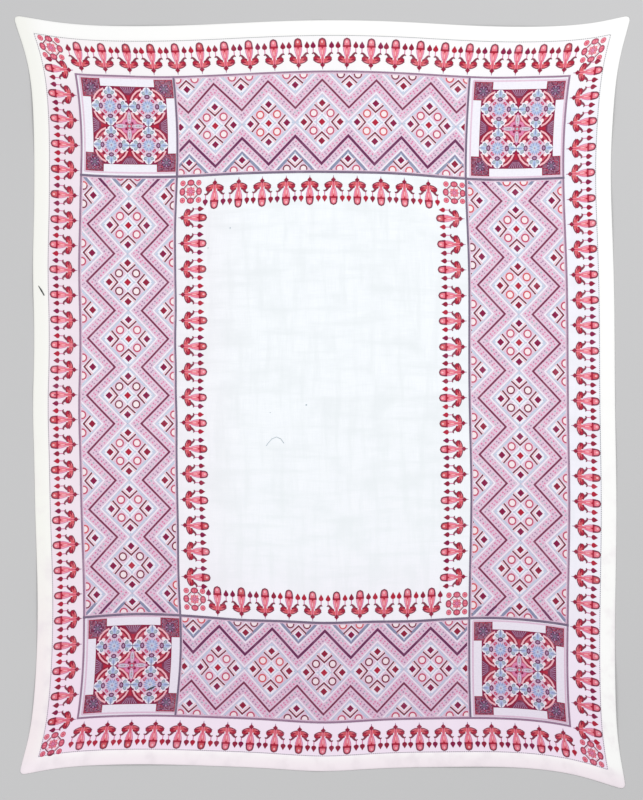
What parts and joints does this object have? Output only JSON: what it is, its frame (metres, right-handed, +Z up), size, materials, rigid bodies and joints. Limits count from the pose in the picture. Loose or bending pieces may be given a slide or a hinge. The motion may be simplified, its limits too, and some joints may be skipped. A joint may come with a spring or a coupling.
{
  "type": "tablecloth",
  "caption": "Oblong hemmed woven tablecloth lying flat, with a coloured border of buds, zigzag bands and corner squares around a plain middle.",
  "frame": {"origin": "on the table top, under the middle of the cloth's box", "axes": "+X along the cloth's width, to the right in the picture; +Y along its length, up in the picture; +Z up, out of its face"},
  "size_m": [1.4126, 1.7742, 0.0066],
  "materials": {
    "cloth": "matte white linen-and-cotton weave with red, maroon, pink, mauve and light-blue pattern threads"
  },
  "bodies": {
    "root": {"cloth": "cloth"}
  },
  "joints": []
}
